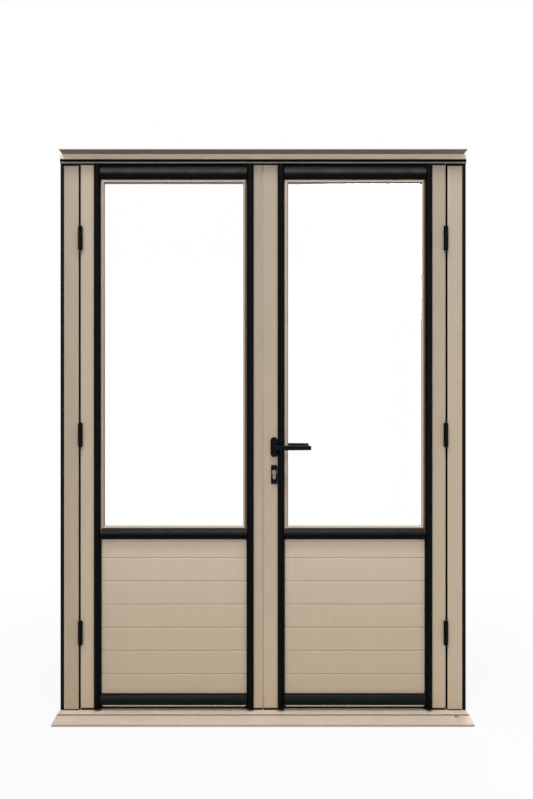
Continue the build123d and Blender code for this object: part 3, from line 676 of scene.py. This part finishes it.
def grow(name, tree, spots, facing, finish, body, slot, **sizes):
    """Runs a tree on spots that face one way or each its own, and rides the result on a body."""
    cloud = bpy.data.meshes.new(name + "_spots")
    cloud.from_pydata(spots, [], [])
    attribute = cloud.attributes.new("facing", "FLOAT_VECTOR", "POINT")
    directions = facing if isinstance(facing, list) else [facing] * len(spots)
    for item, direction in zip(attribute.data, directions):
        item.vector = direction
    seedling = add_object(name + "_spots", cloud)
    modifier = seedling.modifiers.new("grow", "NODES")
    modifier.node_group = tree
    values = {label.replace("_", " ").title(): value for label, value in sizes.items()}
    values["Finish"] = finish
    for item in tree.interface.items_tree:
        if item.in_out == "INPUT" and item.name in values:
            modifier[item.identifier] = values.pop(item.name)
    if values:
        raise ValueError(f"{name} has no size called {sorted(values)}")
    evaluated = seedling.evaluated_get(bpy.context.evaluated_depsgraph_get())
    mesh = bpy.data.meshes.new_from_object(evaluated)
    seedling.modifiers.remove(modifier)
    bpy.data.objects.remove(seedling)
    for attribute in [a for a in mesh.attributes if a.name == "facing"]:
        mesh.attributes.remove(attribute)
    piece = add_object(name, mesh)
    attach(piece, body)
    print(name, len(spots), "spots", len(mesh.polygons), "faces")


# %% [markdown]
# ## Gaskets round the panes
#
# A soft gasket is pressed between each bead and the glass, in one length that bends round the corners.
# It hides the joint and keeps the rain out. On the outside of the glass it draws a thin grey line just
# within the beads, and on the inside and round the panels a black one. Sweeping a small section along a
# rectangle with filleted corners gives exactly that. The tree lays the rectangle flat, and the spot's
# direction stands it up.

# %% The gasket tree
BEND_STEPS = 5
SOFT_STEPS = 2
GASKET_SOFTNESS = 0.7 * MM

gasket_tree, inputs = new_shape_tree("gasket_round_a_pane", {
    "Width": 0.5, "Height": 1.2, "Strip Width": 2.5 * MM, "Strip Depth": 2.5 * MM, "Corner": 4 * MM,
})
pane_line = add_node(gasket_tree, "GeometryNodeCurvePrimitiveQuadrilateral", mode="RECTANGLE")
feed(gasket_tree, pane_line.inputs["Width"], inputs["Width"])
feed(gasket_tree, pane_line.inputs["Height"], inputs["Height"])
bent_line = add_node(gasket_tree, "GeometryNodeFilletCurve", mode="POLY")
bent_line.inputs["Count"].default_value = BEND_STEPS
feed(gasket_tree, bent_line.inputs["Curve"], pane_line.outputs[0])
feed(gasket_tree, bent_line.inputs["Radius"], inputs["Corner"])
upright_line = add_node(gasket_tree, "GeometryNodeSetCurveNormal", mode="Z_UP")
feed(gasket_tree, upright_line.inputs["Curve"], bent_line.outputs[0])
strip_section = add_node(gasket_tree, "GeometryNodeCurvePrimitiveQuadrilateral", mode="RECTANGLE")
feed(gasket_tree, strip_section.inputs["Width"], inputs["Strip Width"])
feed(gasket_tree, strip_section.inputs["Height"], inputs["Strip Depth"])
soft_section = add_node(gasket_tree, "GeometryNodeFilletCurve", mode="POLY")
soft_section.inputs["Count"].default_value = SOFT_STEPS
soft_section.inputs["Radius"].default_value = GASKET_SOFTNESS
feed(gasket_tree, soft_section.inputs["Curve"], strip_section.outputs[0])
gasket = add_node(gasket_tree, "GeometryNodeCurveToMesh")
feed(gasket_tree, gasket.inputs["Curve"], upright_line.outputs[0])
feed(gasket_tree, gasket.inputs["Profile Curve"], soft_section.outputs[0])
copy_to_spots(gasket_tree, inputs, gasket.outputs[0])
print(gasket_tree.name, len(gasket_tree.nodes), "nodes")

# %% Gaskets against the glass and the panels
BEAD_WIDTH = 12 * MM
INNER_BEAD_WIDTH = 6 * MM
GASKET_WIDTH = 1.6 * MM
GASKET_DEPTH = 2.5 * MM
PANEL_GASKET = 2.0 * MM
OUTWARD = (0, -1, 0)
INWARD = (0, 1, 0)


def gasket_round(
        name, opening, inset, face, facing, width, body, finish=rubber_black, slot="black_rubber"):
    """A gasket inside an opening, at an inset from its edges, lying on a face of the pane."""
    low, high = opening
    stand = GASKET_DEPTH / 2 if facing == INWARD else -GASKET_DEPTH / 2
    middle = ((low.x + high.x) / 2, face + stand, (low.z + high.z) / 2)
    grow(
        name, gasket_tree, [middle], facing, finish, body, slot,
        width=high.x - low.x - 2 * inset - width, height=high.z - low.z - 2 * inset - width,
        strip_width=width, strip_depth=GASKET_DEPTH)


for side in ("left", "right"):
    body = f"{side}_leaf"
    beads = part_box(f"{side}_glazing_beads")
    glass_low, glass_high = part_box(f"{side}_glass")
    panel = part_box(f"{side}_panel")
    gasket_round(
        f"{side}_outer_glass_gasket", beads, BEAD_WIDTH, glass_low.y, OUTWARD, GASKET_WIDTH, body,
        seal_grey, "beige_seal")
    gasket_round(
        f"{side}_inner_glass_gasket", beads, INNER_BEAD_WIDTH, glass_high.y, INWARD, GASKET_WIDTH, body)
    gasket_round(f"{side}_outer_panel_gasket", panel, 0, panel[0].y, OUTWARD, PANEL_GASKET, body)
    gasket_round(f"{side}_inner_panel_gasket", panel, 0, panel[1].y, INWARD, PANEL_GASKET, body)

# %% [markdown]
# ## Screws and caps
#
# A screw head is a low dome with a cross cut into it. We take a ball, press everything below its middle
# flat and squeeze the rest to the head's height, which leaves a closed dome. The cross is two crossed
# blocks, taken away with a Boolean once, before the head is copied. The same dome without its cross
# closes each end of a hinge knuckle.


# %% Dome and screw trees
def pressed_dome(tree, radius, height, segments, rings):
    """A ball pressed flat underneath and squeezed to a height above."""
    ball = add_node(tree, "GeometryNodeMeshUVSphere")
    ball.inputs["Segments"].default_value = segments
    ball.inputs["Rings"].default_value = rings
    feed(tree, ball.inputs["Radius"], radius)
    place = add_node(tree, "GeometryNodeInputPosition").outputs[0]
    split = add_node(tree, "ShaderNodeSeparateXYZ")
    tree.links.new(place, split.inputs[0])
    risen = calculate(tree, "MAXIMUM", split.outputs["Z"], 0.0)
    squeezed = calculate(tree, "MULTIPLY", risen, calculate(tree, "DIVIDE", height, radius))
    press = add_node(tree, "GeometryNodeSetPosition")
    tree.links.new(ball.outputs["Mesh"], press.inputs["Geometry"])
    pressed = vector_of(tree, split.outputs["X"], split.outputs["Y"], squeezed)
    tree.links.new(pressed, press.inputs["Position"])
    return press.outputs[0]


def raised_block(tree, width, length, depth, top):
    """A block as deep as asked below a height, to cut with."""
    block = add_node(tree, "GeometryNodeMeshCube")
    size = vector_of(tree, width, length, calculate(tree, "MULTIPLY", depth, 2.0))
    tree.links.new(size, block.inputs["Size"])
    lift = add_node(tree, "GeometryNodeTransform")
    tree.links.new(block.outputs["Mesh"], lift.inputs["Geometry"])
    tree.links.new(vector_of(tree, 0.0, 0.0, top), lift.inputs["Translation"])
    return lift.outputs[0]


cap_tree, inputs = new_shape_tree("domed_cap", {"Radius": 6 * MM, "Height": 2.5 * MM})
cap = pressed_dome(cap_tree, inputs["Radius"], inputs["Height"], segments=24, rings=12)
copy_to_spots(cap_tree, inputs, cap)

screw_tree, inputs = new_shape_tree("cross_head_screw", {
    "Radius": 3.6 * MM, "Height": 0.8 * MM, "Cross": 3.8 * MM, "Arm": 0.9 * MM, "Arm Depth": 0.6 * MM,
})
head = pressed_dome(screw_tree, inputs["Radius"], inputs["Height"], segments=20, rings=10)
cut = add_node(screw_tree, "GeometryNodeMeshBoolean", operation="DIFFERENCE", solver="EXACT")
screw_tree.links.new(head, cut.inputs["Mesh 1"])
for width, length in (("Arm", "Cross"), ("Cross", "Arm")):
    arm = raised_block(screw_tree, inputs[width], inputs[length], inputs["Arm Depth"], inputs["Height"])
    screw_tree.links.new(arm, cut.inputs["Mesh 2"])
copy_to_spots(screw_tree, inputs, cut.outputs["Mesh"], seed=7)
print(cap_tree.name, len(cap_tree.nodes), "nodes,", screw_tree.name, len(screw_tree.nodes), "nodes")

# %% Hinge screws and caps
HINGE_LENGTH = 83 * MM
HINGE_HEIGHTS = [290 * MM, 989 * MM, 1684 * MM]
FLAP_THICKNESS = 2.5 * MM
FLAP_SCREW_DEPTH = 15 * MM
FLAP_SCREW_STEP = 28 * MM
SCREW_SINK = 0.1 * MM
CAP_SINK = 0.3 * MM
FLAP_SCREW_SIZES = {"height": 0.4 * MM, "arm_depth": 0.25 * MM}
SIDES = (("left", -1), ("right", 1))


def outer_face(box, sign):
    """Where a box ends across the door: at its left for a negative sign, else at its right."""
    low, high = box
    return high.x if sign > 0 else low.x


screw_heights = [height + step * FLAP_SCREW_STEP for height in HINGE_HEIGHTS for step in (-1, 0, 1)]
frame_spots, frame_facings, cap_spots, cap_facings = [], [], [], []
for side, sign in SIDES:
    jamb_face = outer_face(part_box(f"{side}_frame_hinges"), sign)
    leaf_face = outer_face(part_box(f"{side}_hinge_stile"), sign)
    frame_flap = jamb_face - sign * (FLAP_THICKNESS - SCREW_SINK)
    leaf_flap = leaf_face + sign * (FLAP_THICKNESS - SCREW_SINK)
    frame_spots += [(frame_flap, FLAP_SCREW_DEPTH, height) for height in screw_heights]
    frame_facings += [(-sign, 0, 0)] * len(screw_heights)
    leaf_spots = [(leaf_flap, FLAP_SCREW_DEPTH, height) for height in screw_heights]
    grow(
        f"{side}_leaf_hinge_screws", screw_tree, leaf_spots, (sign, 0, 0), steel,
        f"{side}_leaf", "steel", **FLAP_SCREW_SIZES)
    axis = Vector(next(j["pos_m"] for j in frame["joints"] if j["name"] == f"{side}_leaf_swing"))
    for height in HINGE_HEIGHTS:
        for end in (-1, 1):
            cap_spots.append((axis.x, axis.y, height + end * (HINGE_LENGTH / 2 - CAP_SINK)))
            cap_facings.append((0, 0, end))
grow(
    "frame_hinge_screws", screw_tree, frame_spots, frame_facings, steel, "frame", "steel",
    **FLAP_SCREW_SIZES)
grow(
    "hinge_caps", cap_tree, cap_spots, cap_facings, hardware_black, "frame", "black_hardware",
    height=2.8 * MM)

# %% Screws of the lock plates
PLATE_SCREW_REACH = 108 * MM
PLATE_THICKNESS = 3 * MM

faceplate_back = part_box("lock_faceplate")[1].x
strike_low, strike_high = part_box("strike_plate")
plate_middle = (strike_low + strike_high) / 2
plate_heights = [plate_middle.z - PLATE_SCREW_REACH, plate_middle.z + PLATE_SCREW_REACH]
for name, body, face, facing in (
    ("faceplate_screws", "right_leaf", faceplate_back - PLATE_THICKNESS + SCREW_SINK, (-1, 0, 0)),
    ("strike_plate_screws", "left_leaf", strike_low.x + PLATE_THICKNESS - SCREW_SINK, (1, 0, 0)),
):
    spots = [(face, plate_middle.y, height) for height in plate_heights]
    grow(name, screw_tree, spots, facing, steel, body, "steel", height=0.5 * MM, arm_depth=0.35 * MM)

# %% [markdown]
# ## Collars
#
# Where the lever's neck enters its rose there is a small fixed collar, and the lock cylinder shows the
# rim of its turning plug round the keyway. Both are rings, and so is the cup washer under the one brass
# screw in the sill. A ring is a section swept along a circle, so they share a tree.

# %% The collar tree
CIRCLE_STEPS = 48

collar_tree, inputs = new_shape_tree("collar", {
    "Inner Radius": 7.1 * MM, "Outer Radius": 8.4 * MM, "Height": 1.2 * MM, "Softness": 0.3 * MM,
})
both_radii = calculate(collar_tree, "ADD", inputs["Inner Radius"], inputs["Outer Radius"])
middle_radius = calculate(collar_tree, "MULTIPLY", both_radii, 0.5)
wall = calculate(collar_tree, "SUBTRACT", inputs["Outer Radius"], inputs["Inner Radius"])
circle_line = add_node(collar_tree, "GeometryNodeCurvePrimitiveCircle", mode="RADIUS")
circle_line.inputs["Resolution"].default_value = CIRCLE_STEPS
feed(collar_tree, circle_line.inputs["Radius"], middle_radius)
level_line = add_node(collar_tree, "GeometryNodeSetCurveNormal", mode="Z_UP")
feed(collar_tree, level_line.inputs["Curve"], circle_line.outputs[0])
wall_section = add_node(collar_tree, "GeometryNodeCurvePrimitiveQuadrilateral", mode="RECTANGLE")
feed(collar_tree, wall_section.inputs["Width"], wall)
feed(collar_tree, wall_section.inputs["Height"], inputs["Height"])
soft_wall = add_node(collar_tree, "GeometryNodeFilletCurve", mode="POLY")
soft_wall.inputs["Count"].default_value = SOFT_STEPS
feed(collar_tree, soft_wall.inputs["Radius"], inputs["Softness"])
feed(collar_tree, soft_wall.inputs["Curve"], wall_section.outputs[0])
ring = add_node(collar_tree, "GeometryNodeCurveToMesh")
feed(collar_tree, ring.inputs["Curve"], level_line.outputs[0])
feed(collar_tree, ring.inputs["Profile Curve"], soft_wall.outputs[0])
copy_to_spots(collar_tree, inputs, ring.outputs[0])
print(collar_tree.name, len(collar_tree.nodes), "nodes")

# %% Collars of the lever necks and rims of the lock plugs
COLLAR_HEIGHT = 1.2 * MM
PLUG_RIM = 0.6 * MM
CYLINDER_RADIUS = 8.5 * MM

roses_low, roses_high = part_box("handle_roses")
rose_middle = (roses_low + roses_high) / 2
cylinder_low, cylinder_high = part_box("lock_cylinder")
plug_height = cylinder_high.z - CYLINDER_RADIUS
grow(
    "lever_collars", collar_tree,
    [(rose_middle.x, roses_low.y, rose_middle.z), (rose_middle.x, roses_high.y, rose_middle.z)],
    [OUTWARD, INWARD], hardware_black, "right_leaf", "black_hardware", height=COLLAR_HEIGHT)
grow(
    "lock_plug_rims", collar_tree,
    [(rose_middle.x, cylinder_low.y, plug_height), (rose_middle.x, cylinder_high.y, plug_height)],
    [OUTWARD, INWARD], nickel, "right_leaf", "nickel",
    inner_radius=5.5 * MM, outer_radius=6.2 * MM, height=PLUG_RIM, softness=0.15 * MM)

# %% The brass screw in the sill
SILL_SCREW_X = 673 * MM
SILL_SCREW_Y = -50 * MM
SILL_FALL = 5.0 / 63.0
SILL_FALL_START = -38 * MM
THRESHOLD_TOP = 13 * MM

sill_screw_z = THRESHOLD_TOP + (SILL_SCREW_Y - SILL_FALL_START) * SILL_FALL
sill_up = Vector((0, -SILL_FALL, 1)).normalized()
sill_spot = Vector((SILL_SCREW_X, SILL_SCREW_Y, sill_screw_z))
grow(
    "sill_screw_washer", collar_tree, [tuple(sill_spot)], tuple(sill_up), brass, "frame", "steel",
    inner_radius=3.6 * MM, outer_radius=8.0 * MM, height=2.4 * MM, softness=1.1 * MM)
grow(
    "sill_screw", screw_tree, [tuple(sill_spot)], tuple(sill_up), brass, "frame", "steel",
    radius=4.4 * MM, height=2.6 * MM, cross=4.2 * MM, arm=1.1 * MM, arm_depth=1.4 * MM)

# %% [markdown]
# ## Strips along the gaps
#
# Soft strips close the gaps that light would shine through: a fin on the seal between the leaves, a
# black bulb seal under the header and a rubber sweep under each leaf. Thin dark brown strips in the
# hinge gaps paint the shade there, and a brown strip in the joint across the sill paints the shade of
# the step between tread and apron. Each keeps one section from end to end, so each is a plain prism
# with a section of its own, made as a mesh.


# %% Helpers for straight strips
def straight_strip(name, lengths, along, finish, body):
    """Closed strips in one piece: each length has its section, in the two other axes, and its two ends."""
    across = [axis for axis in "xyz" if axis != along]
    shape = bmesh.new()
    for section, low, high in lengths:
        ends = []
        for level in (low, high):
            corners = [dict(zip(across, pair), **{along: level}) for pair in section]
            ends.append([shape.verts.new((c["x"], c["y"], c["z"])) for c in corners])
        near, far = ends
        shape.faces.new(near)
        shape.faces.new(far[::-1])
        for index in range(len(section)):
            after = (index + 1) % len(section)
            shape.faces.new((near[index], near[after], far[after], far[index]))
    bmesh.ops.recalc_face_normals(shape, faces=shape.faces)
    mesh = bpy.data.meshes.new(name)
    shape.to_mesh(mesh)
    shape.free()
    mesh.materials.append(finish)
    piece = add_object(name, mesh)
    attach(piece, body)
    print(name, [round((high - low) / MM) for _, low, high in lengths], "mm long")


def rectangle(first_low, first_high, second_low, second_high):
    """The four corners of a rectangular section."""
    return [
        (first_low, second_low), (first_high, second_low),
        (first_high, second_high), (first_low, second_high)]


# %% The fin of the meeting seal
FIN_TIP = 2.3 * MM
FIN_TIP_HALF = 0.3 * MM
FIN_ROOT_HALF = 0.9 * MM
FIN_ROOT_SINK = 1.0 * MM

seal_low, seal_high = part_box("meeting_seal")
seal_middle = (seal_low.y + seal_high.y) / 2
fin_root = seal_high.x - FIN_ROOT_SINK
fin_section = [
    (fin_root, seal_middle - FIN_ROOT_HALF), (FIN_TIP, seal_middle - FIN_TIP_HALF),
    (FIN_TIP, seal_middle + FIN_TIP_HALF), (fin_root, seal_middle + FIN_ROOT_HALF)]
straight_strip(
    "meeting_seal_fin", [(fin_section, seal_low.z, seal_high.z)], "z",
    seal_beige, "left_leaf")

# %% The seal under the header
HEAD_SEAL_HEIGHT = 6 * MM
BULB_MIDDLE = 7 * MM
BULB_RADIUS = 3 * MM

head_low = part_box("left_hinge_stile")[0].x
head_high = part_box("right_hinge_stile")[1].x
header_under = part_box("left_side_seal")[1].z
bulb_height = header_under - HEAD_SEAL_HEIGHT + BULB_RADIUS
bulb_section = [(BULB_MIDDLE + BULB_RADIUS, header_under), (BULB_MIDDLE - BULB_RADIUS, header_under)]
for angle in range(0, 181, 30):
    turn = math.radians(angle)
    bulb_section.append(
        (BULB_MIDDLE - BULB_RADIUS * math.cos(turn), bulb_height - BULB_RADIUS * math.sin(turn)))
straight_strip(
    "head_seal", [(bulb_section, head_low, head_high)], "x", rubber_black, "frame")

# %% Dark strips that paint the shade in the hinge gaps
GAP_STRIP_THICKNESS = 0.9 * MM
GAP_STRIP_DEPTHS = (1 * MM, 28 * MM)
FLAP_CLEARANCE = 2 * MM

half_flap = HINGE_LENGTH / 2 + FLAP_CLEARANCE
flap_ends = [height + end * half_flap for height in HINGE_HEIGHTS for end in (-1, 1)]
stops = [THRESHOLD_TOP] + flap_ends + [header_under]
for side, sign in SIDES:
    face = outer_face(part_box(f"{side}_frame_hinges"), sign)
    section = rectangle(*sorted((face, face - sign * GAP_STRIP_THICKNESS)), *GAP_STRIP_DEPTHS)
    lengths = [(section, low, high) for low, high in zip(stops[::2], stops[1::2])]
    straight_strip(f"{side}_gap_shade_strip", lengths, "z", gap_shade_brown, "frame")

# %% Sweeps under the leaves
SWEEP_DEPTHS = (3 * MM, 7 * MM)
STILE_SWEEP_FOOT = 15 * MM
PANEL_SWEEP_FOOT = 20 * MM
SWEEP_SINK = 0.5 * MM

for side in ("left", "right"):
    stiles = [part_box(f"{side}_{piece}_stile") for piece in ("hinge", "meeting")]
    stiles.sort(key=lambda box: box[0].x)
    leaf_low, leaf_high = stiles[0][0], stiles[1][1]
    strip_low, strip_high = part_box(f"{side}_bottom_strip")
    under_stile = rectangle(*SWEEP_DEPTHS, STILE_SWEEP_FOOT, leaf_low.z + SWEEP_SINK)
    under_panel = rectangle(*SWEEP_DEPTHS, PANEL_SWEEP_FOOT, strip_low.z + SWEEP_SINK)
    lengths = [
        (under_stile, leaf_low.x, strip_low.x),
        (under_panel, strip_low.x, strip_high.x),
        (under_stile, strip_high.x, leaf_high.x),
    ]
    straight_strip(f"{side}_sweep", lengths, "x", rubber_black, f"{side}_leaf")

# %% The joint in the sill
# A brown strip in the joint paints the shade of the step between tread and apron.
JOINT_MIDDLE = -37 * MM
JOINT_FOOT_HALF = 4.5 * MM
JOINT_TOP_HALF = 3.6 * MM
JOINT_SINK = 0.8 * MM
JOINT_RISE_BEHIND = 0.5 * MM
JOINT_RISE_IN_FRONT = 0.3 * MM
JOINT_END = 0.5 * MM

apron_low, apron_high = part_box("sill_apron")
joint_section = [
    (JOINT_MIDDLE - JOINT_FOOT_HALF, THRESHOLD_TOP - JOINT_SINK),
    (JOINT_MIDDLE + JOINT_FOOT_HALF, THRESHOLD_TOP - JOINT_SINK),
    (JOINT_MIDDLE + JOINT_TOP_HALF, THRESHOLD_TOP + JOINT_RISE_BEHIND),
    (JOINT_MIDDLE - JOINT_TOP_HALF, THRESHOLD_TOP + JOINT_RISE_IN_FRONT)]
straight_strip(
    "sill_joint_shade_strip", [(joint_section, apron_low.x + JOINT_END, apron_high.x - JOINT_END)], "x",
    joint_shade_brown, "frame")
